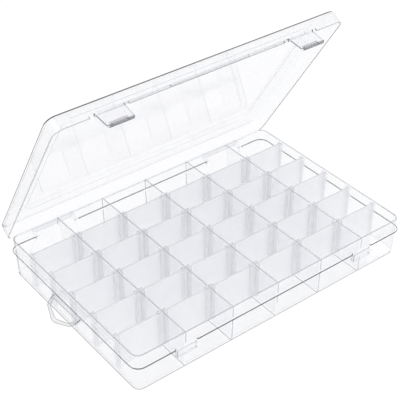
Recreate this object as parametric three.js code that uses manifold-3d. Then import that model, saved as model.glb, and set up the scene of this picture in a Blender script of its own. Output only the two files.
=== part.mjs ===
// Parts sorting tray: a clear compartment box with a hinged lid, two latch flaps, a hanging loop
// and removable dividers. Millimetres, +Z up, +X to the right, -Y to the front where the latches are.
// The origin is the middle of the tray's underside.
import * as THREE from 'three';
import { mergeVertices } from 'three/addons/utils/BufferGeometryUtils.js';
import Module from 'manifold-3d';

const wasm = await Module();
wasm.setup();

// ---- Driving dimensions ----
const COLUMNS = 6;
const ROWS = 6;
const COLUMN_PITCH = 45;
const ROW_PITCH = 29.5;
const GAP = 0.3; // running gap between neighbouring pieces

const TRAY_HEIGHT = 35.4;
const FLOOR = 1.2;
const WALL = 1.2;
const TRAY_TOP = { z: TRAY_HEIGHT, hx: 134.9, hy: 88.4, r: 7.2 }; // outer half sizes and corner radius
const TRAY_BOTTOM = { z: 0, hx: 133.9, hy: 87.2, r: 6.4 };
const FLANGE = { hx: 136.3, hy: 89.9, r: 8.4, z0: 23.3, z1: 24.3 };

const PARTITION = 1.2; // thickness of the fixed partitions
const DIVIDER = 1.3; // thickness of the removable dividers
const RIB_REACH = 3.6; // how far a slot rib stands out
const RIB_THICK = 1.3;
const SLOT = DIVIDER + 2 * GAP;

const LID_EDGE_Z = FLANGE.z1 + GAP; // the skirt's free edge when the lid is shut
const LID_UNDERSIDE = TRAY_HEIGHT + GAP;
const LID_PANEL = 1.3;
const LID_TOP = LID_UNDERSIDE + LID_PANEL;
const LID_SKIRT = 1.1;
const LID_MOUTH = { hx: 136.7, hy: 90.2, r: 8.8 };
const LID_CROWN = { hx: 136.3, hy: 89.8, r: 8.4 };
const LID_BEVEL = 0.9;
const RECESS = { hx: 117, hy: 74, r: 8, depth: 0.4 };
const LIP = { hx: 37, height: 2.3, reach: 0.8 };
const LID_OPEN_DEG = 58; // how far the lid stands open at rest

const HINGE_X = 90; // the hinges and the latches are this far left and right of the middle
const HINGE_Y = 96.1;
const HINGE_Z = 25.6;
const FLANGE_GAP_AT_HINGE = 21; // half length of the flange's break at each hinge
const KNUCKLE = { half: 17, r: 2.3, web: 2.4 };
const STUB_R = 1.2;
const EAR = { inner: 17.4, outer: 20.4, r: 2.9, z0: 18.5 };

const LATCH = { root: 12.5, tip: 11.5, length: 14.5, thick: 1.2, corner: 2.6 };
const LATCH_Y = -(LID_MOUTH.hy + GAP / 2 + LATCH.thick / 2); // pivot of the latch flaps, lid shut
const LATCH_Z = 24.4;
const LATCH_OPEN_DEG = 20; // how far the flaps stand out at rest
const LATCH_RIB = { half: 6, reach: 1.1, drop: 8.9, height: 1.4 };
const LATCH_TIP_LIP = { height: 1.6, reach: 0.7 };
const NOTCH = { inner: 12.9, outer: 16.6, height: 2.3 }; // reliefs in the skirt beside each flap
const CATCH = { half: 9, gap: 10, z0: 16, reach: 90 };

const LOOP = { half: 18.9, shoulder: 17.4, shoulderReach: 8.7, tip: 2.4, reach: 15.2, thick: 1.4, rim: 3.4 };
const LOOP_X = -(FLANGE.hx + GAP + LOOP.thick / 2);
const LOOP_Z = 23.8;
const LOOP_DROOP_DEG = 29;

// ---- Materials ----
const clearPlastic = () =>
  new THREE.MeshStandardMaterial({ color: 0xe9ebf2, roughness: 0.08, metalness: 0, transparent: true, opacity: 0.35 });
const frostedPlastic = () =>
  new THREE.MeshStandardMaterial({ color: 0xf1f2f6, roughness: 0.5, metalness: 0, transparent: true, opacity: 0.8 });

// ---- Solids ----
function toSolid(geometry) {
  const bare = geometry.index ? geometry.clone() : geometry;
  bare.deleteAttribute('normal');
  bare.deleteAttribute('uv');
  const merged = mergeVertices(bare, 1e-5);
  return new wasm.Manifold(
    new wasm.Mesh({
      numProp: 3,
      vertProperties: new Float32Array(merged.attributes.position.array),
      triVerts: new Uint32Array(merged.index.array),
    }),
  );
}

function toGeometry(solid) {
  const mesh = solid.getMesh();
  const geometry = new THREE.BufferGeometry();
  geometry.setAttribute('position', new THREE.BufferAttribute(new Float32Array(mesh.vertProperties), 3));
  geometry.setIndex(new THREE.BufferAttribute(new Uint32Array(mesh.triVerts), 1));
  geometry.computeVertexNormals();
  return geometry;
}

const join = (solids) => solids.reduce((whole, next) => whole.add(next));

function block(x0, x1, y0, y1, z0, z1) {
  const geometry = new THREE.BoxGeometry(x1 - x0, y1 - y0, z1 - z0);
  geometry.translate((x0 + x1) / 2, (y0 + y1) / 2, (z0 + z1) / 2);
  return toSolid(geometry);
}

function rodAlongX(radius, x0, x1, y, z) {
  const geometry = new THREE.CylinderGeometry(radius, radius, x1 - x0, 24);
  geometry.rotateZ(Math.PI / 2);
  geometry.translate((x0 + x1) / 2, y, z);
  return toSolid(geometry);
}

// A ring of points round a rounded rectangle, anticlockwise seen from above.
const ARC_STEPS = 6;
function roundedRing({ hx, hy, r }) {
  const points = [];
  for (const [sx, sy, start] of [[1, 1, 0], [-1, 1, 1], [-1, -1, 2], [1, -1, 3]]) {
    for (let i = 0; i <= ARC_STEPS; i++) {
      const angle = ((start + i / ARC_STEPS) * Math.PI) / 2;
      points.push([sx * (hx - r) + r * Math.cos(angle), sy * (hy - r) + r * Math.sin(angle)]);
    }
  }
  return points;
}

// A solid through rounded rectangles at rising heights, each {z, hx, hy, r}.
function loft(sections) {
  const positions = [];
  const index = [];
  const count = 4 * (ARC_STEPS + 1);
  for (const section of sections) {
    for (const [x, y] of roundedRing(section)) {
      positions.push(x, y, section.z);
    }
  }
  for (let ring = 0; ring + 1 < sections.length; ring++) {
    for (let i = 0; i < count; i++) {
      const a = ring * count + i;
      const b = ring * count + ((i + 1) % count);
      index.push(a, b, b + count, a, b + count, a + count);
    }
  }
  const bottom = positions.length / 3;
  positions.push(0, 0, sections[0].z, 0, 0, sections.at(-1).z);
  const lastRing = (sections.length - 1) * count;
  for (let i = 0; i < count; i++) {
    const next = (i + 1) % count;
    index.push(bottom, next, i, bottom + 1, lastRing + i, lastRing + next);
  }
  const geometry = new THREE.BufferGeometry();
  geometry.setAttribute('position', new THREE.Float32BufferAttribute(positions, 3));
  geometry.setIndex(index);
  return toSolid(geometry);
}

// A closed outline whose corners are rounded, each point [u, v, radius].
function roundedOutline(points, path = new THREE.Shape()) {
  const corners = points.map(([u, v, radius = 0]) => ({ at: new THREE.Vector2(u, v), radius }));
  corners.forEach(({ at, radius }, i) => {
    const before = corners.at(i - 1).at;
    const after = corners[(i + 1) % corners.length].at;
    const start = at.clone().add(before.clone().sub(at).setLength(radius));
    const end = at.clone().add(after.clone().sub(at).setLength(radius));
    if (i === 0) {
      path.moveTo(start.x, start.y);
    } else {
      path.lineTo(start.x, start.y);
    }
    if (radius > 0) {
      path.quadraticCurveTo(at.x, at.y, end.x, end.y);
    }
  });
  path.closePath();
  return path;
}

function extrude(shape, depth) {
  return new THREE.ExtrudeGeometry(shape, { depth, bevelEnabled: false, curveSegments: 5 });
}

// An outline in (y, z), drawn out from x0 to x1.
function extrudeAlongX(shape, x0, x1) {
  const geometry = extrude(shape, x1 - x0);
  const toYZ = new THREE.Matrix4().makeBasis(
    new THREE.Vector3(0, 1, 0),
    new THREE.Vector3(0, 0, 1),
    new THREE.Vector3(1, 0, 0),
  );
  geometry.applyMatrix4(toYZ);
  geometry.translate(x0, 0, 0);
  return toSolid(geometry);
}

// An outline in (x, z), drawn out from y0 to y1.
function extrudeAlongY(shape, y0, y1) {
  const geometry = extrude(shape, y1 - y0);
  geometry.rotateX(Math.PI / 2);
  geometry.translate(0, y1, 0);
  return toSolid(geometry);
}

// ---- Layout ----
const mix = (a, b, t) => a + (b - a) * t;
const traySection = (z, inset) => {
  const t = z / TRAY_HEIGHT;
  return {
    z,
    hx: mix(TRAY_BOTTOM.hx, TRAY_TOP.hx, t) - inset,
    hy: mix(TRAY_BOTTOM.hy, TRAY_TOP.hy, t) - inset,
    r: mix(TRAY_BOTTOM.r, TRAY_TOP.r, t) - inset,
  };
};
const innerEndX = (z) => traySection(z, WALL).hx;

const partitionXs = Array.from({ length: COLUMNS - 1 }, (_, i) => (i + 1 - COLUMNS / 2) * COLUMN_PITCH);
const rowYs = Array.from({ length: ROWS - 1 }, (_, i) => (i + 1 - ROWS / 2) * ROW_PITCH);

// ---- Base ----
// Both ribs of every slot down one side, from x0 to x1.
function slotRibs(x0, x1) {
  return rowYs.flatMap((y) => [
    block(x0, x1, y - SLOT / 2 - RIB_THICK, y - SLOT / 2, FLOOR / 2, TRAY_HEIGHT),
    block(x0, x1, y + SLOT / 2, y + SLOT / 2 + RIB_THICK, FLOOR / 2, TRAY_HEIGHT),
  ]);
}

function partition(x) {
  const x0 = x - PARTITION / 2;
  const x1 = x + PARTITION / 2;
  const plate = block(x0, x1, -TRAY_TOP.hy, TRAY_TOP.hy, FLOOR / 2, TRAY_HEIGHT);
  return join([plate, ...slotRibs(x0 - RIB_REACH, x0 + 0.1), ...slotRibs(x1 - 0.1, x1 + RIB_REACH)]);
}

function endWallRibs() {
  const x = innerEndX(TRAY_HEIGHT);
  return [...slotRibs(x - RIB_REACH, x + WALL), ...slotRibs(-x - WALL, -x + RIB_REACH)];
}

// A catch stands on the front wall in a break of the flange; the latch's rib hooks under it.
function frontCatch(x) {
  const wallY = -traySection(CATCH.z0, WALL / 2).hy;
  const outline = roundedOutline([
    [wallY, CATCH.z0],
    [wallY, FLANGE.z1],
    [-(CATCH.reach - 0.9), FLANGE.z1],
    [-CATCH.reach, FLANGE.z1 - 1.2],
    [-CATCH.reach, CATCH.z0],
  ]);
  return extrudeAlongX(outline, x - CATCH.half, x + CATCH.half);
}

// Two ears on the back wall hold the pin stubs of one lid knuckle.
function hingeEars(x) {
  const wallY = traySection(EAR.z0, WALL / 2).hy;
  const ears = [-1, 1].map((side) => {
    const x0 = x + Math.min(side * EAR.inner, side * EAR.outer);
    const x1 = x0 + EAR.outer - EAR.inner;
    const bracket = roundedOutline([
      [wallY, EAR.z0],
      [HINGE_Y, HINGE_Z - EAR.r],
      [HINGE_Y, HINGE_Z + EAR.r],
      [HINGE_Y - EAR.r / 2, HINGE_Z + EAR.r * 0.86],
      [FLANGE.hy + 0.2, FLANGE.z1 - 0.2],
      [wallY, FLANGE.z1 - 0.2],
    ]);
    return extrudeAlongX(bracket, x0, x1).add(rodAlongX(EAR.r, x0, x1, HINGE_Y, HINGE_Z));
  });
  const bore = rodAlongX(STUB_R + GAP, x - EAR.outer - 1, x + EAR.outer + 1, HINGE_Y, HINGE_Z);
  return join(ears).subtract(bore);
}

function baseTray() {
  const shell = loft([traySection(0, 0), traySection(TRAY_HEIGHT, 0)]);
  const cavity = loft([traySection(FLOOR, WALL), { ...traySection(TRAY_HEIGHT, WALL), z: TRAY_HEIGHT + 1 }]);
  let flange = loft([{ ...FLANGE, z: FLANGE.z0 }, { ...FLANGE, z: FLANGE.z1 }]);
  const farY = FLANGE.hy + 1;
  for (const x of [-HINGE_X, HINGE_X]) {
    const atCatch = [x - CATCH.gap, x + CATCH.gap, -farY, -traySection(FLANGE.z0, 0).hy];
    const atHinge = [x - FLANGE_GAP_AT_HINGE, x + FLANGE_GAP_AT_HINGE, traySection(FLANGE.z0, 0).hy, farY];
    flange = flange.subtract(block(...atCatch, FLANGE.z0 - 1, FLANGE.z1 + 1));
    flange = flange.subtract(block(...atHinge, FLANGE.z0 - 1, FLANGE.z1 + 1));
  }
  const interior = join([...partitionXs.map(partition), ...endWallRibs()]).intersect(shell);
  return join([
    shell.add(flange).subtract(cavity),
    interior,
    ...[-HINGE_X, HINGE_X].flatMap((x) => [frontCatch(x), hingeEars(x)]),
  ]);
}

// ---- Dividers ----
// Plates stand in the slots between two partitions, or between a partition and a drafted end wall.
const DIVIDER_Z0 = FLOOR + GAP;
const DIVIDER_Z1 = TRAY_HEIGHT - GAP;
const DIVIDER_CHAMFER = 1.2;
function divider(column) {
  const left = (column - COLUMNS / 2) * COLUMN_PITCH + PARTITION / 2 + GAP;
  const right = left + COLUMN_PITCH - PARTITION - 2 * GAP;
  const x0 = (z) => (column === 0 ? -innerEndX(z) + GAP : left);
  const x1 = (z) => (column === COLUMNS - 1 ? innerEndX(z) - GAP : right);
  const outline = roundedOutline([
    [x0(DIVIDER_Z0) + DIVIDER_CHAMFER, DIVIDER_Z0],
    [x1(DIVIDER_Z0) - DIVIDER_CHAMFER, DIVIDER_Z0],
    [x1(DIVIDER_Z0), DIVIDER_Z0 + DIVIDER_CHAMFER],
    [x1(DIVIDER_Z0), DIVIDER_Z1, 0.8],
    [x0(DIVIDER_Z0), DIVIDER_Z1, 0.8],
    [x0(DIVIDER_Z0), DIVIDER_Z0 + DIVIDER_CHAMFER],
  ]);
  return extrudeAlongY(outline, -DIVIDER / 2, DIVIDER / 2);
}

// ---- Lid, built shut and then swung open by its group ----
function latchRoot(x) {
  const outline = roundedOutline([
    [-LID_MOUTH.hy + 0.6, LATCH_Z + LATCH.thick / 2 + GAP],
    [LATCH_Y - LATCH.thick / 2, LATCH_Z + LATCH.thick / 2 + GAP],
    [LATCH_Y - LATCH.thick / 2, LATCH_Z + LATCH.thick / 2 + GAP + 1],
    [-LID_MOUTH.hy + 0.6, LATCH_Z + LATCH.thick / 2 + GAP + 2.4],
  ]);
  return extrudeAlongX(outline, x - LATCH.root, x + LATCH.root);
}

function knuckle(x) {
  const x0 = x - KNUCKLE.half;
  const x1 = x + KNUCKLE.half;
  const web = block(x0, x1, LID_MOUTH.hy - 0.7, HINGE_Y, HINGE_Z - KNUCKLE.web / 2 + 0.3, HINGE_Z + KNUCKLE.web / 2 + 0.3);
  const barrel = rodAlongX(KNUCKLE.r, x0, x1, HINGE_Y, HINGE_Z);
  const stubs = rodAlongX(STUB_R, x - EAR.outer, x + EAR.outer, HINGE_Y, HINGE_Z);
  return join([web, barrel, stubs]);
}

function lid() {
  const outer = loft([
    { ...LID_MOUTH, z: LID_EDGE_Z },
    { ...LID_CROWN, z: LID_TOP - LID_BEVEL },
    { hx: LID_CROWN.hx - LID_BEVEL, hy: LID_CROWN.hy - LID_BEVEL, r: LID_CROWN.r - LID_BEVEL, z: LID_TOP },
  ]);
  const inset = ({ hx, hy, r }, z) => ({ hx: hx - LID_SKIRT, hy: hy - LID_SKIRT, r: r - LID_SKIRT, z });
  const hollow = loft([inset(LID_MOUTH, LID_EDGE_Z - 1), inset(LID_CROWN, LID_UNDERSIDE)]);
  const recess = loft([{ ...RECESS, z: LID_TOP - RECESS.depth }, { ...RECESS, z: LID_TOP + 1 }]);
  const frontY = -LID_MOUTH.hy;
  const lipFace = block(-LIP.hx, LIP.hx, frontY - LIP.reach, frontY + 0.6, LID_EDGE_Z, LID_EDGE_Z + LIP.height);
  const notches = [-HINGE_X, HINGE_X].flatMap((x) => [-1, 1].map((side) => {
    const x0 = x + Math.min(side * NOTCH.inner, side * NOTCH.outer);
    const x1 = x0 + NOTCH.outer - NOTCH.inner;
    return block(x0, x1, frontY - 1, frontY + LID_SKIRT + 1, LID_EDGE_Z - 1, LID_EDGE_Z + NOTCH.height);
  }));
  const flapCuts = [-HINGE_X, HINGE_X].map((x) => block(
    x - LATCH.root, x + LATCH.root, frontY - 1, frontY + LID_SKIRT + 1,
    LID_EDGE_Z - 1, LATCH_Z + LATCH.thick / 2 + GAP,
  ));
  return join([
    outer,
    lipFace,
    ...[-HINGE_X, HINGE_X].flatMap((x) => [latchRoot(x), knuckle(x)]),
  ]).subtract(hollow).subtract(recess).subtract(join([...notches, ...flapCuts]));
}

// A latch flap hangs from its pivot at the origin; +Y is its inner side.
function latchFlap() {
  const half = LATCH.thick / 2;
  const ribTop = -LATCH_RIB.drop;
  const tip = -LATCH.length;
  const plateOutline = new THREE.Shape();
  plateOutline.moveTo(half, 0);
  plateOutline.absarc(0, 0, half, 0, Math.PI, false);
  plateOutline.lineTo(-half, tip + LATCH_TIP_LIP.height + LATCH_TIP_LIP.reach);
  plateOutline.lineTo(-half - LATCH_TIP_LIP.reach, tip + LATCH_TIP_LIP.height);
  plateOutline.lineTo(-half - LATCH_TIP_LIP.reach, tip);
  plateOutline.lineTo(half, tip);
  plateOutline.closePath();
  const face = roundedOutline([
    [-LATCH.root, 1],
    [-LATCH.tip, tip, LATCH.corner],
    [LATCH.tip, tip, LATCH.corner],
    [LATCH.root, 1],
  ]);
  const ribOutline = roundedOutline([
    [half - 0.3, ribTop],
    [half - 0.3, ribTop - LATCH_RIB.height - LATCH_RIB.reach],
    [half + LATCH_RIB.reach, ribTop - LATCH_RIB.height],
    [half + LATCH_RIB.reach, ribTop],
  ]);
  const plate = extrudeAlongX(plateOutline, -LATCH.root, LATCH.root);
  const rib = extrudeAlongX(ribOutline, -LATCH_RIB.half, LATCH_RIB.half);
  return plate.intersect(extrudeAlongY(face, -4, 4)).add(rib);
}

// The hanging loop reaches from its pivot at the origin towards -X.
function hangLoop() {
  const outline = (inset) => [
    [-inset * 0.7, LOOP.half - inset],
    [-LOOP.shoulderReach + inset * 0.35, LOOP.shoulder - inset, 3],
    [-LOOP.reach + inset, LOOP.tip - inset * 0.3, 1.5],
    [-LOOP.reach + inset, -(LOOP.tip - inset * 0.3), 1.5],
    [-LOOP.shoulderReach + inset * 0.35, -(LOOP.shoulder - inset), 3],
    [-inset * 0.7, -(LOOP.half - inset)],
  ];
  const shape = roundedOutline(outline(0));
  shape.holes.push(roundedOutline(outline(LOOP.rim), new THREE.Path()));
  const plate = extrude(shape, LOOP.thick);
  plate.translate(0, 0, -LOOP.thick / 2);
  const root = new THREE.CylinderGeometry(LOOP.thick / 2, LOOP.thick / 2, 2 * LOOP.half, 16);
  return toSolid(plate).add(toSolid(root));
}

// ---- Assembly ----
const tray = new THREE.Group();

function named(name, solid, material) {
  const mesh = new THREE.Mesh(toGeometry(solid), material());
  mesh.name = name;
  return mesh;
}

tray.add(named('base_tray', baseTray(), clearPlastic));

for (let column = 0; column < COLUMNS; column++) {
  rowYs.forEach((y, row) => {
    const plate = named(`divider_c${column + 1}_r${row + 1}`, divider(column), frostedPlastic);
    plate.position.y = y;
    tray.add(plate);
  });
}

const lidGroup = new THREE.Group();
lidGroup.position.set(0, HINGE_Y, HINGE_Z);
lidGroup.rotation.x = -THREE.MathUtils.degToRad(LID_OPEN_DEG);
const lidMesh = named('lid', lid(), clearPlastic);
lidMesh.position.set(0, -HINGE_Y, -HINGE_Z);
lidGroup.add(lidMesh);
for (const [name, x] of [['latch_left', -HINGE_X], ['latch_right', HINGE_X]]) {
  const flap = named(name, latchFlap(), clearPlastic);
  flap.position.set(x, LATCH_Y - HINGE_Y, LATCH_Z - HINGE_Z);
  flap.rotation.x = -THREE.MathUtils.degToRad(LATCH_OPEN_DEG);
  lidGroup.add(flap);
}
tray.add(lidGroup);

const loopMesh = named('hang_loop', hangLoop(), clearPlastic);
loopMesh.position.set(LOOP_X, 0, LOOP_Z);
loopMesh.rotation.y = -THREE.MathUtils.degToRad(LOOP_DROOP_DEG);
tray.add(loopMesh);

export default tray;
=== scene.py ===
"""Looks for the parts sorting tray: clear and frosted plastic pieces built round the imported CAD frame."""

import math

import bmesh
import bpy
from mathutils import Matrix, Vector


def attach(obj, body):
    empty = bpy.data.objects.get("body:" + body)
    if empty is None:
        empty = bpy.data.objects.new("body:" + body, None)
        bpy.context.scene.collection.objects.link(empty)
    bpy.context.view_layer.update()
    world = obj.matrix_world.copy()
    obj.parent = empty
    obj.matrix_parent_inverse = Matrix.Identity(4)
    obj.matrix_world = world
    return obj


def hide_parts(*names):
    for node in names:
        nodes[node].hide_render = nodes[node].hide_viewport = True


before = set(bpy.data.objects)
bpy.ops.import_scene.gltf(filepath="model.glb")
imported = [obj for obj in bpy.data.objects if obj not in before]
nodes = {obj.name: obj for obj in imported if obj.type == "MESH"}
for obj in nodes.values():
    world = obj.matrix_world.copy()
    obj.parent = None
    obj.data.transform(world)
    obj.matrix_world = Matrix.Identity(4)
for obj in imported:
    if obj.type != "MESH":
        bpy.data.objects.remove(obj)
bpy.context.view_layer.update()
scene = bpy.context.scene

MM = 0.001

# Sizes that the CAD uses too, in millimetres.
TRAY_HEIGHT = 35.4
FLANGE = {"hx": 136.3, "hy": 89.9, "z0": 23.3, "z1": 24.3}
TRAY_TOP = {"hx": 134.9, "hy": 88.4, "r": 7.2}
TRAY_BOTTOM = {"hx": 133.9, "hy": 87.2, "r": 6.4}
LID_EDGE_Z, LID_TOP, LID_BEVEL = 24.6, 37.0, 0.9
LID_CROWN = {"hx": 136.3, "hy": 89.8, "r": 8.4}
HINGE_Y, HINGE_Z, HINGE_X = 96.1, 25.6, 90.0
LID_OPEN = math.radians(58)
LATCH_Y, LATCH_Z = -90.95, 24.4
LATCH_OPEN = math.radians(20)
LATCH_THICK, LATCH_LENGTH = 1.2, 14.5
LATCH_RIB = {"drop": 8.9, "reach": 1.1}
NOTCH = {"inner": 12.9, "outer": 16.6, "height": 2.3}
CATCH_HALF, CATCH_Z0 = 9.0, 16.0
COLUMN_PITCH, PARTITION, WALL = 45.0, 1.2, 1.2
PARTITION_XS = [(i - 2) * COLUMN_PITCH for i in range(5)]
DIVIDER_YS = [(i - 2) * 29.5 for i in range(5)]
RIB_REACH, RIB_PAIR_HALF = 3.6, 2.3
RECESS = {"hx": 117.0, "hy": 74.0}

WIDEST_EDGE = 1.0  # the largest moulded rounding
SHARP = math.radians(32)  # edges that turn more than this are rounded
SMOOTH = math.radians(38)  # edges that turn more than this stay sharp in shading
FACING = 0.99  # how close to a direction a face must point to count as facing it

# Clear plastic: how fast its tint and its gloss deepen towards a grazing view.
TINT_POWER, MIRROR_POWER = 3.0, 5.0
FACE_ON_GLOSS = 0.035
MOTTLE = 0.15  # share of a divider's tone that is cloudy and not from its painted height shade

# Where the lid's free edge is cut into strips, from its middle.
EDGE_CUT_X, EDGE_CUT_Y, EDGE_CUT_Z = 129, 82.5, 26
CORNER = 7  # reach of the lid's rounded corners
POST_MIDDLE, POST_HEIGHT = 7.0, 4.0
POST_SIDES = (-7.4, -6.6, 6.6, 7.4)

CLEAR, RIB, FAINT_PAINTED_SHADE, PALE_PAINTED_SHADE, OUTLINE_PAINTED_SHADE, DARK_PAINTED_SHADE = range(6)  # the clear plastic's material slots: the first is the plain wall; the rest are painted shade, deeper in this order, standing in for the hazy bands and dark edge lines that refraction makes in clear plastic
EDGE_MARK, SINK_MARK = OUTLINE_PAINTED_SHADE, DARK_PAINTED_SHADE  # what a face is marked with until its zone is known


# ---- Materials ----
def new_tree(name):
    material = bpy.data.materials.new(name)
    material.use_nodes = True
    tree = material.node_tree
    tree.nodes.clear()
    return material, tree


def add(tree, kind, inputs=None, **settings):
    node = tree.nodes.new("ShaderNode" + kind)
    for key, value in settings.items():
        setattr(node, key, value)
    for key, value in (inputs or {}).items():
        if isinstance(value, bpy.types.NodeSocket):
            tree.links.new(value, node.inputs[key])
        else:
            node.inputs[key].default_value = value
    return node


def moulded_noise(tree, scale, detail=3.0):
    where = add(tree, "TexCoord")
    return add(
        tree,
        "TexNoise",
        {"Vector": where.outputs["Object"], "Scale": scale, "Detail": detail, "Roughness": 0.55},
    )


def ranged(tree, value, low, high):
    """A noise value, which stays near the middle, spread over low to high."""
    node = add(tree, "MapRange", {"Value": value, "From Min": 0.3, "From Max": 0.7, "To Min": low, "To Max": high})
    return node.outputs["Result"]


def clear_plastic(name, through, edge_on, body, haze, shine=0.9):
    """Thin clear moulding: what is behind shows through a tint that deepens where the wall is seen edge on."""
    material, tree = new_tree(name)
    flow = moulded_noise(tree, 38.0)
    ripple = moulded_noise(tree, 160.0, 2.0)
    bump = add(tree, "Bump", {"Height": ripple.outputs["Fac"], "Strength": 0.05, "Distance": 0.0006})
    facing = add(tree, "LayerWeight", {"Blend": 0.5}).outputs["Facing"]
    turned = add(tree, "Math", {0: facing, 1: TINT_POWER}, operation="POWER").outputs[0]
    tint = add(
        tree,
        "MixRGB",
        {"Fac": turned, "Color1": (*through, 1), "Color2": (*edge_on, 1)},
    )
    clear = add(tree, "BsdfTransparent", {"Color": tint.outputs[0]})
    solid = add(
        tree,
        "BsdfPrincipled",
        {
            "Base Color": (*body, 1),
            "Roughness": ranged(tree, flow.outputs["Fac"], 0.3, 0.42),
            "Normal": bump.outputs["Normal"],
        },
    )
    amount = ranged(tree, flow.outputs["Fac"], haze * 0.82, haze * 1.18)
    walls = add(tree, "MixShader", {"Fac": amount, 1: clear.outputs[0], 2: solid.outputs[0]})
    gloss = add(
        tree,
        "BsdfGlossy",
        {
            "Color": (1, 1, 1, 1),
            "Roughness": ranged(tree, flow.outputs["Fac"], 0.04, 0.1),
            "Normal": bump.outputs["Normal"],
        },
    )
    grazing = add(tree, "Math", {0: facing, 1: MIRROR_POWER}, operation="POWER").outputs[0]
    mirror = add(tree, "MapRange", {"Value": grazing, "To Min": FACE_ON_GLOSS, "To Max": shine}).outputs["Result"]
    whole = add(tree, "MixShader", {"Fac": mirror, 1: walls.outputs[0], 2: gloss.outputs[0]})
    add(tree, "OutputMaterial", {"Surface": whole.outputs[0]})
    return material


def frosted_plastic(name, painted_top_shade, pale):
    """Sandblasted divider: a fine grain that scatters light, darker towards the top by painted shade, with a
    little showing behind.
    """
    material, tree = new_tree(name)
    grain = moulded_noise(tree, 900.0, 2.0)
    cloud = moulded_noise(tree, 45.0)
    place = add(tree, "TexCoord").outputs["Object"]
    height = add(tree, "SeparateXYZ", {"Vector": place}).outputs["Z"]
    # Painted shade: the colour runs from the darker top tone at the tray's rim height to the pale tone at the
    # floor.
    depth = add(
        tree,
        "MapRange",
        {"Value": height, "From Min": TRAY_HEIGHT * MM, "From Max": 0.0, "To Min": 0.0, "To Max": 1.0 - MOTTLE},
    ).outputs["Result"]
    mottle = ranged(tree, cloud.outputs["Fac"], 0.0, MOTTLE)
    bump = add(tree, "Bump", {"Height": grain.outputs["Fac"], "Strength": 0.25, "Distance": 0.0002})
    colour = add(
        tree,
        "MixRGB",
        {
            "Fac": add(tree, "Math", {0: depth, 1: mottle}, operation="ADD").outputs[0],
            "Color1": (*painted_top_shade, 1),
            "Color2": (*pale, 1),
        },
    )
    solid = add(
        tree,
        "BsdfPrincipled",
        {
            "Base Color": colour.outputs[0],
            "Roughness": ranged(tree, grain.outputs["Fac"], 0.45, 0.62),
            "Normal": bump.outputs["Normal"],
        },
    )
    glow = add(tree, "BsdfTranslucent", {"Color": colour.outputs[0], "Normal": bump.outputs["Normal"]})
    milky = add(tree, "MixShader", {"Fac": 0.5, 1: solid.outputs[0], 2: glow.outputs[0]})
    clear = add(tree, "BsdfTransparent", {"Color": (0.97, 0.972, 0.985, 1)})
    open_share = ranged(tree, cloud.outputs["Fac"], 0.25, 0.31)
    whole = add(tree, "MixShader", {"Fac": open_share, 1: milky.outputs[0], 2: clear.outputs[0]})
    add(tree, "OutputMaterial", {"Surface": whole.outputs[0]})
    return material


# Slot materials in the order of the slots above: a plain clear wall, then painted shade that greys the ribs and
# darkens edges into lines, the last almost black.
CLEAR_SET = (
    clear_plastic("clear_wall", (0.98, 0.981, 0.986), (0.95, 0.951, 0.96), (0.93, 0.93, 0.945), 0.04),
    clear_plastic("clear_rib", (0.975, 0.976, 0.982), (0.94, 0.941, 0.95), (0.91, 0.912, 0.924), 0.38, 0.06),
    clear_plastic("clear_faint_painted_shade", (0.93, 0.931, 0.942), (0.86, 0.861, 0.88), (0.75, 0.751, 0.77), 0.12, 0.3),
    clear_plastic("clear_pale_painted_shade", (0.73, 0.732, 0.745), (0.6, 0.602, 0.62), (0.43, 0.432, 0.45), 0.45, 0.2),
    clear_plastic("clear_painted_outline_shade", (0.5, 0.502, 0.515), (0.25, 0.252, 0.265), (0.15, 0.152, 0.165), 0.5, 0.12),
    clear_plastic("clear_dark_painted_shade", (0.26, 0.262, 0.28), (0.1, 0.1, 0.115), (0.03, 0.03, 0.035), 0.85, 0.1),
)
FROSTED_SET = (
    frosted_plastic("frosted_face", (0.935, 0.937, 0.947), (0.99, 0.991, 0.994)),
    # a darker grey for the dividers' top edges: painted shade that keeps the rounded top from showing as a bright
    # line
    frosted_plastic("frosted_top_painted_shade", (0.7, 0.702, 0.715), (0.76, 0.762, 0.775)),
)


# ---- Pieces ----
def cleaned(bm):
    """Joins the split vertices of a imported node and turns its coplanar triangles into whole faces."""
    bmesh.ops.remove_doubles(bm, verts=bm.verts, dist=1e-6)
    bmesh.ops.dissolve_limit(bm, angle_limit=math.radians(0.5), verts=bm.verts, edges=bm.edges)


def set_edge_widths(bm, width_at):
    """Writes each sharp edge's rounding, in millimetres, as a share of WIDEST_EDGE."""
    weights = bm.edges.layers.float.new("bevel_weight_edge")
    for edge in bm.edges:
        if len(edge.link_faces) == 2 and edge.calc_face_angle() > SHARP:
            middle = (edge.verts[0].co + edge.verts[1].co) / 2 / MM
            edge[weights] = width_at(middle) / WIDEST_EDGE


def rounded(obj, edge_index):
    """Rounds the sharp edges as a mould does, keeps the new faces apart as edge_index, and applies it."""
    bevel = obj.modifiers.new("moulded_edges", "BEVEL")
    bevel.width = WIDEST_EDGE * MM
    bevel.segments = 2
    bevel.limit_method = "WEIGHT"
    bevel.material = edge_index
    bevel.use_clamp_overlap = False
    graph = bpy.context.evaluated_depsgraph_get()
    mesh = bpy.data.meshes.new_from_object(obj.evaluated_get(graph))
    old = obj.data
    obj.modifiers.clear()
    obj.data = mesh
    bpy.data.meshes.remove(old)


def cut(bm, faces, place, normal):
    """Splits only these faces along a plane, both in millimetres."""
    parts = set(faces)
    for f in faces:
        parts.update(f.edges)
        parts.update(f.verts)
    bmesh.ops.bisect_plane(bm, geom=list(parts), dist=1e-7, plane_co=Vector(place) * MM, plane_no=normal)


def finished(obj, node, body):
    mesh = obj.data
    for polygon in mesh.polygons:
        polygon.use_smooth = True
    mesh.set_sharp_from_angle(angle=SMOOTH)
    weighted = obj.modifiers.new("flat_faces", "WEIGHTED_NORMAL")
    weighted.keep_sharp = True
    weighted.weight = 100
    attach(obj, body)
    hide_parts(node)
    return obj


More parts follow.
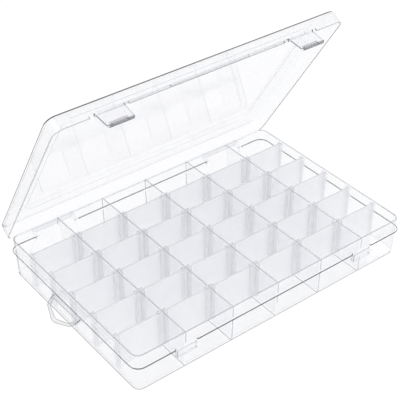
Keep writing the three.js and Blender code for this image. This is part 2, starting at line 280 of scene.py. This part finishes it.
def from_node(node, name, materials, width_at, detail=None, zone=None):
    """A detailed piece over a CAD node: same form, with rounded edges, extra detail and material zones."""
    mesh = bpy.data.meshes.new(name)
    bm = bmesh.new()
    bm.from_mesh(nodes[node].data)
    cleaned(bm)
    set_edge_widths(bm, width_at)
    bm.to_mesh(mesh)
    bm.free()
    for polygon in mesh.polygons:
        polygon.material_index = 0
    for material in materials:
        mesh.materials.append(material)
    obj = bpy.data.objects.new(name, mesh)
    scene.collection.objects.link(obj)
    rounded(obj, EDGE_MARK if zone else 0)
    if detail is not None:
        bm = bmesh.new()
        bm.from_mesh(obj.data)
        detail(bm)
        bm.to_mesh(obj.data)
        bm.free()
    if zone is not None:
        for polygon in obj.data.polygons:
            polygon.material_index = zone(polygon.center / MM, polygon.normal, polygon.material_index)
    return obj


def lid_opened(point):
    """A point of the shut lid, in millimetres, where it is at rest with the lid open."""
    p = Matrix.Rotation(-LID_OPEN, 3, "X") @ Vector((point.x, point.y - HINGE_Y, point.z - HINGE_Z))
    return Vector((p.x, p.y + HINGE_Y, p.z + HINGE_Z))


def lid_shut(point):
    """A point of the open lid, in millimetres, where it is with the lid shut."""
    p = Vector((point.x, point.y - HINGE_Y, point.z - HINGE_Z))
    p = Matrix.Rotation(LID_OPEN, 3, "X") @ p
    return Vector((p.x, p.y + HINGE_Y, p.z + HINGE_Z))


def beyond_outline(c, outline):
    """How far a point is outside a rounded rectangle seen from above; negative inside it."""
    dx = abs(c.x) - (outline["hx"] - outline["r"])
    dy = abs(c.y) - (outline["hy"] - outline["r"])
    if dx > 0 and dy > 0:
        return math.hypot(dx, dy) - outline["r"]
    return max(dx, dy) - outline["r"]


def near_catch(c):
    return c.y < 0 and abs(abs(c.x) - HINGE_X) < CATCH_HALF + 0.9


def tray_edge(c):
    if c.z < 0.1:
        return 1.0
    if beyond_outline(c, TRAY_TOP) > 0.2:
        return 0.4
    return 0.3


def at_rib(c):
    beside_x = min(abs(c.x - x) for x in PARTITION_XS + [-TRAY_TOP["hx"], TRAY_TOP["hx"]])
    beside_y = min(abs(c.y - y) for y in DIVIDER_YS)
    inside = abs(c.x) < TRAY_TOP["hx"] - 1.0
    return inside and beside_x < RIB_REACH + 1.4 and beside_y < RIB_PAIR_HALF + 0.1


# Material slot of each tray face. Every slot but the plain wall is painted shade: lines along the bottom edge, the
# flange edge, the catch, the rim and partition tops, the sink strips and two far corners, and grey bands on the
# ribs.
def tray_zone(c, n, index):
    if c.z < 0.95 and index == EDGE_MARK:
        return FAINT_PAINTED_SHADE if c.y > TRAY_TOP["hy"] - 4 or c.x > TRAY_TOP["hx"] - 4 else DARK_PAINTED_SHADE
    beyond = beyond_outline(c, TRAY_TOP) > 0.35
    at_flange = FLANGE["z0"] - 0.1 < c.z < FLANGE["z1"] + 0.1 and c.y < FLANGE["hy"] + 0.1
    if beyond and at_flange and abs(n.z) < 0.95 and not near_catch(c):
        return OUTLINE_PAINTED_SHADE if c.x < -FLANGE["hx"] + 1 else DARK_PAINTED_SHADE
    if index == SINK_MARK:
        return PALE_PAINTED_SHADE
    on_catch_edge = near_catch(c) and index == EDGE_MARK and c.y < -TRAY_BOTTOM["hy"] - 0.3
    if on_catch_edge and CATCH_Z0 - 0.5 < c.z < FLANGE["z1"]:
        return OUTLINE_PAINTED_SHADE if c.z < FLANGE["z0"] - 0.3 else CLEAR
    beside_x = min(abs(c.x - x) for x in PARTITION_XS + [-TRAY_TOP["hx"] + 0.3, TRAY_TOP["hx"] - 0.3])
    if c.z > TRAY_HEIGHT - 0.4:
        if c.y > TRAY_TOP["hy"] - WALL - 0.1 or (at_rib(c) and beside_x > 0.9):
            return FAINT_PAINTED_SHADE
        return PALE_PAINTED_SHADE
    if at_rib(c):
        return FAINT_PAINTED_SHADE if n.z > 0.3 else RIB
    in_far_corner = abs(c.x) > TRAY_BOTTOM["hx"] - 6 and abs(c.y) > TRAY_BOTTOM["hy"] - 6 and c.x * c.y < 0
    if in_far_corner and abs(n.z) < 0.3 and min(abs(n.x), abs(n.y)) > 0.5 and n.x * c.x > 0 and n.y * c.y > 0:
        return PALE_PAINTED_SHADE
    return CLEAR


def is_outer_face(face):
    c, n = face.calc_center_median() / MM, face.normal
    if n.z < -FACING:
        return c.z < 0.05
    on_wall = TRAY_TOP["hy"] - 1.3 < abs(c.y) < TRAY_TOP["hy"] + 0.05
    return on_wall and abs(n.y) > FACING and n.y * c.y > 0


def split_top(bm):
    """Cuts the rim and partition tops, which are one face with many arms, into plain strips."""
    planes = [((x + side * 0.35, 0, 0), (1, 0, 0)) for x in PARTITION_XS for side in (-1, 1)]
    planes += [((side * (TRAY_TOP["hx"] - 0.95), 0, 0), (1, 0, 0)) for side in (-1, 1)]
    planes += [((0, side * (TRAY_TOP["hy"] - 0.95), 0), (0, 1, 0)) for side in (-1, 1)]
    for place, normal in planes:
        top = [f for f in bm.faces if f.normal.z > FACING and f.calc_center_median().z > (TRAY_HEIGHT - 0.01) * MM]
        cut(bm, top, place, normal)


def sink_marks(bm):
    """Shallow sink lines in the underside and the long walls, where each partition stands on the other side."""
    half = PARTITION / 2
    for x in PARTITION_XS:
        for side in (-half, half):
            cut(bm, [f for f in bm.faces if is_outer_face(f)], (x + side, 0, 0), (1, 0, 0))
    strips = []
    for f in bm.faces:
        if is_outer_face(f) and f.calc_area() > 4 * MM * MM:
            middle = f.calc_center_median().x / MM
            widest = max(abs(v.co.x / MM - middle) for v in f.verts)
            if widest < half * 1.1 and min(abs(middle - x) for x in PARTITION_XS) < half / 2:
                strips.append(f)
    bmesh.ops.inset_individual(bm, faces=strips, thickness=0.12 * MM, depth=-0.05 * MM)
    for f in strips:
        f.material_index = SINK_MARK


def tray_detail(bm):
    split_top(bm)
    sink_marks(bm)


def split_free_edge(bm):
    """Cuts the ring-shaped face of the lid's free edge into one strip a side and one a corner."""
    down = Matrix.Rotation(-LID_OPEN, 3, "X") @ Vector((0, 0, -1))
    sideways = Matrix.Rotation(-LID_OPEN, 3, "X") @ Vector((0, 1, 0))
    planes = [(Vector((side * EDGE_CUT_X, 0, 0)), Vector((1, 0, 0))) for side in (-1, 1)]
    planes += [(lid_opened(Vector((0, side * EDGE_CUT_Y, LID_EDGE_Z))), sideways) for side in (-1, 1)]
    for place, normal in planes:
        ring = [
            f
            for f in bm.faces
            if f.normal.dot(down) > FACING and lid_shut(f.calc_center_median() / MM).z < EDGE_CUT_Z
        ]
        cut(bm, ring, place, normal)


def lid_side(p):
    """Which side of the shut lid a point is nearest to."""
    to_end, to_long_side = LID_CROWN["hx"] - abs(p.x), LID_CROWN["hy"] - abs(p.y)
    if to_end < to_long_side:
        return "left" if p.x < 0 else "right"
    return "front" if p.y < 0 else "back"


def at_crown(p):
    return p.z > LID_TOP - LID_BEVEL - 0.7 and beyond_outline(p, LID_CROWN) > -1.6


def lid_edge(c):
    p = lid_shut(c)
    if p.z < LID_EDGE_Z + 0.1:
        return 0.45
    if at_crown(p):
        return 0.6
    if abs(p.x) < RECESS["hx"] + 1 and abs(p.y) < RECESS["hy"] + 1 and p.z > LID_TOP - 0.6:
        return 0.15
    return 0.3


# Painted shade per side of the lid: dark lines along the front and left crown and the right free edge, paler or
# none on the rest.
CROWN_LOOK = {"front": DARK_PAINTED_SHADE, "left": DARK_PAINTED_SHADE, "right": CLEAR, "back": FAINT_PAINTED_SHADE}
FREE_EDGE_LOOK = {"front": PALE_PAINTED_SHADE, "left": PALE_PAINTED_SHADE, "right": OUTLINE_PAINTED_SHADE, "back": FAINT_PAINTED_SHADE}


# Material slot of each lid face: besides the sides above, painted shade lines at the latch notches, the rounded
# corners, the recess edge and the free edge.
def lid_zone(c, n, index):
    p = lid_shut(c)
    outward = Matrix.Rotation(LID_OPEN, 3, "X") @ n
    side = lid_side(p)
    at_left_hinge_corner = p.x < -LID_CROWN["hx"] + CORNER and p.y > LID_CROWN["hy"] - CORNER
    if at_crown(p):
        return PALE_PAINTED_SHADE if at_left_hinge_corner else CROWN_LOOK[side]
    beside_latch = abs(abs(p.x) - HINGE_X)
    if p.y < -LID_CROWN["hy"] + 1.5 and p.z < LID_EDGE_Z + NOTCH["height"] + 0.4 and abs(n.x) > 0.5:
        if beside_latch > NOTCH["inner"] - 0.5:
            return DARK_PAINTED_SHADE
    in_right_corner = p.x > LID_CROWN["hx"] - CORNER and p.y < -LID_CROWN["hy"] + CORNER
    if in_right_corner and abs(outward.z) < 0.3 and 0.55 < outward.x < 0.85 and outward.y < 0:
        return PALE_PAINTED_SHADE
    if at_left_hinge_corner and abs(outward.z) < 0.3 and 0.7 < -outward.x < 0.95 and outward.y > 0:
        return PALE_PAINTED_SHADE
    at_recess = abs(abs(p.x) - RECESS["hx"]) < 0.6 or abs(abs(p.y) - RECESS["hy"]) < 0.6
    if at_recess and p.z > LID_TOP - 0.6 and abs(outward.z) < 0.9:
        return PALE_PAINTED_SHADE
    if p.z < LID_EDGE_Z + 0.1:
        return FAINT_PAINTED_SHADE if side == "back" else PALE_PAINTED_SHADE
    if p.z < LID_EDGE_Z + 0.6 and index == EDGE_MARK:
        return FREE_EDGE_LOOK[side]
    return CLEAR


def latch_opened(point):
    """A point of a shut latch flap where it is with the flap at its rest angle and the lid shut."""
    p = Matrix.Rotation(-LATCH_OPEN, 3, "X") @ Vector((point.x, point.y - LATCH_Y, point.z - LATCH_Z))
    return Vector((p.x, p.y + LATCH_Y, p.z + LATCH_Z))


def latch_shut(point):
    """A point of an open latch flap, in millimetres, where it is with the latch and the lid shut."""
    p = lid_shut(point)
    p = Matrix.Rotation(LATCH_OPEN, 3, "X") @ Vector((p.x, p.y - LATCH_Y, p.z - LATCH_Z))
    return Vector((p.x, p.y + LATCH_Y, p.z + LATCH_Z))


def latch_posts(bm):
    """Two little posts on the inside of a latch flap, at the ends of its snap rib."""
    turn = Matrix.Rotation(-LATCH_OPEN - LID_OPEN, 3, "X")
    inward = turn @ Vector((0, 1, 0))
    down = turn @ Vector((0, 0, -1))
    middle = math.copysign(HINGE_X, sum(v.co.x for v in bm.verts))
    corner = lid_opened(latch_opened(Vector((middle, LATCH_Y + LATCH_THICK / 2, LATCH_Z))))
    planes = [(corner + Vector((x, 0, 0)), Vector((1, 0, 0))) for x in POST_SIDES]
    planes += [(corner + down * drop, down) for drop in (LATCH_RIB["drop"], LATCH_RIB["drop"] + POST_HEIGHT)]

    def inner_faces():
        return [
            f
            for f in bm.faces
            if f.normal.dot(inward) > FACING and abs((f.calc_center_median() / MM - corner).dot(inward)) < 0.05
        ]

    for place, normal in planes:
        cut(bm, inner_faces(), place, normal)
    feet = []
    for f in inner_faces():
        place = f.calc_center_median() / MM - corner
        drop = place.dot(down) - LATCH_RIB["drop"]
        if abs(abs(place.x) - POST_MIDDLE) < 0.3 and 0 < drop < POST_HEIGHT:
            feet.append(f)
    bmesh.ops.inset_individual(bm, faces=feet, thickness=0.06 * MM, depth=LATCH_RIB["reach"] * MM)


# Material slot of each latch flap face, all painted shade: pale inside, an outline at the lip, side edges darker
# on the left than on the right, faint elsewhere.
def flap_zone(c, n, index):
    p = latch_shut(c)
    drop = LATCH_Z - p.z
    from_middle = (abs(p.x) - HINGE_X) * (1 if p.x > 0 else -1)
    if p.y > LATCH_Y + LATCH_THICK / 2 + 0.2 and drop > 5:
        return PALE_PAINTED_SHADE
    if drop > LATCH_LENGTH - 0.5 and p.y < LATCH_Y + 0.4:
        return OUTLINE_PAINTED_SHADE
    if drop > LATCH_LENGTH - 1.9 and p.y < LATCH_Y - LATCH_THICK / 2 - 0.1:
        return OUTLINE_PAINTED_SHADE
    if index == EDGE_MARK and drop > 0.5:
        if from_middle < -9.5:
            return DARK_PAINTED_SHADE
        return PALE_PAINTED_SHADE if from_middle > 9.5 else FAINT_PAINTED_SHADE
    return FAINT_PAINTED_SHADE


# the hang loop's rounded edges take pale painted shade, the rest a faint painted shade
def loop_zone(c, n, index):
    return PALE_PAINTED_SHADE if index == EDGE_MARK else FAINT_PAINTED_SHADE


# the top edge faces take the painted shade material
def plate_zone(c, n, index):
    return 1 if c.z > TRAY_HEIGHT - 0.7 else 0


tray = from_node("base_tray", "tray_moulding", CLEAR_SET, tray_edge, detail=tray_detail, zone=tray_zone)
finished(tray, "base_tray", "base")

lid = from_node("lid", "lid_moulding", CLEAR_SET, lid_edge, detail=split_free_edge, zone=lid_zone)
finished(lid, "lid", "lid")

for side in ("left", "right"):
    latch = f"latch_{side}"
    flap = from_node(latch, latch + "_flap", CLEAR_SET, lambda c: 0.35, detail=latch_posts, zone=flap_zone)
    finished(flap, latch, latch)

loop = from_node("hang_loop", "hang_loop_moulding", CLEAR_SET, lambda c: 0.45, zone=loop_zone)
finished(loop, "hang_loop", "hang_loop")

for column in range(1, 7):
    for row in range(1, 6):
        node = f"divider_c{column}_r{row}"
        plate = from_node(node, node + "_plate", FROSTED_SET, lambda c: 0.3, zone=plate_zone)
        finished(plate, node, node)


# ---- Studio ----
def plain_floor():
    mesh = bpy.data.meshes.new("studio_floor")
    bm = bmesh.new()
    bmesh.ops.create_grid(bm, x_segments=2, y_segments=2, size=8.0)
    bm.to_mesh(mesh)
    bm.free()
    floor = bpy.data.objects.new("studio_floor", mesh)
    floor.location.z = -0.3 * MM
    scene.collection.objects.link(floor)
    material, tree = new_tree("pale_floor")
    surface = add(
        tree,
        "BsdfPrincipled",
        {
            "Base Color": (0.05, 0.05, 0.05, 1),
            "Roughness": 0.9,
            "Emission Color": (1, 1, 1, 1),
            "Emission Strength": 0.97,
            "Specular IOR Level": 0.0,
        },
    )
    add(tree, "OutputMaterial", {"Surface": surface.outputs[0]})
    mesh.materials.append(material)


def softbox(name, place, size, watts):
    lamp = bpy.data.lights.new(name, "AREA")
    lamp.shape = "SQUARE"
    lamp.size = size
    lamp.energy = watts
    obj = bpy.data.objects.new(name, lamp)
    obj.location = place
    obj.rotation_euler = (Vector((0, 0, 0.05)) - Vector(place)).to_track_quat("-Z", "Y").to_euler()
    scene.collection.objects.link(obj)


plain_floor()
softbox("key", (-0.9, -0.3, 1.6), 1.2, 7)
softbox("fill", (1.2, 0.8, 1.5), 1.0, 4)
world = bpy.data.worlds.new("studio")
world.use_nodes = True
scene.world = world
sky = world.node_tree.nodes["Background"]
sky.inputs["Color"].default_value = (1, 1, 1, 1)
sky.inputs["Strength"].default_value = 1.04

lens = bpy.data.cameras.new("camera")
lens.lens = 97.31
lens.sensor_width = 36
lens.clip_start = 0.02
camera = bpy.data.objects.new("camera", lens)
camera.location = (-0.4388, -0.5515, 0.5781)
camera.rotation_euler = (math.radians(90 - 36.14), 0, math.radians(-38.0))
scene.collection.objects.link(camera)
scene.camera = camera
scene.view_settings.view_transform = "Standard"
scene.cycles.max_bounces = 24
scene.cycles.diffuse_bounces = 8
scene.cycles.glossy_bounces = 6
scene.cycles.transparent_max_bounces = 64
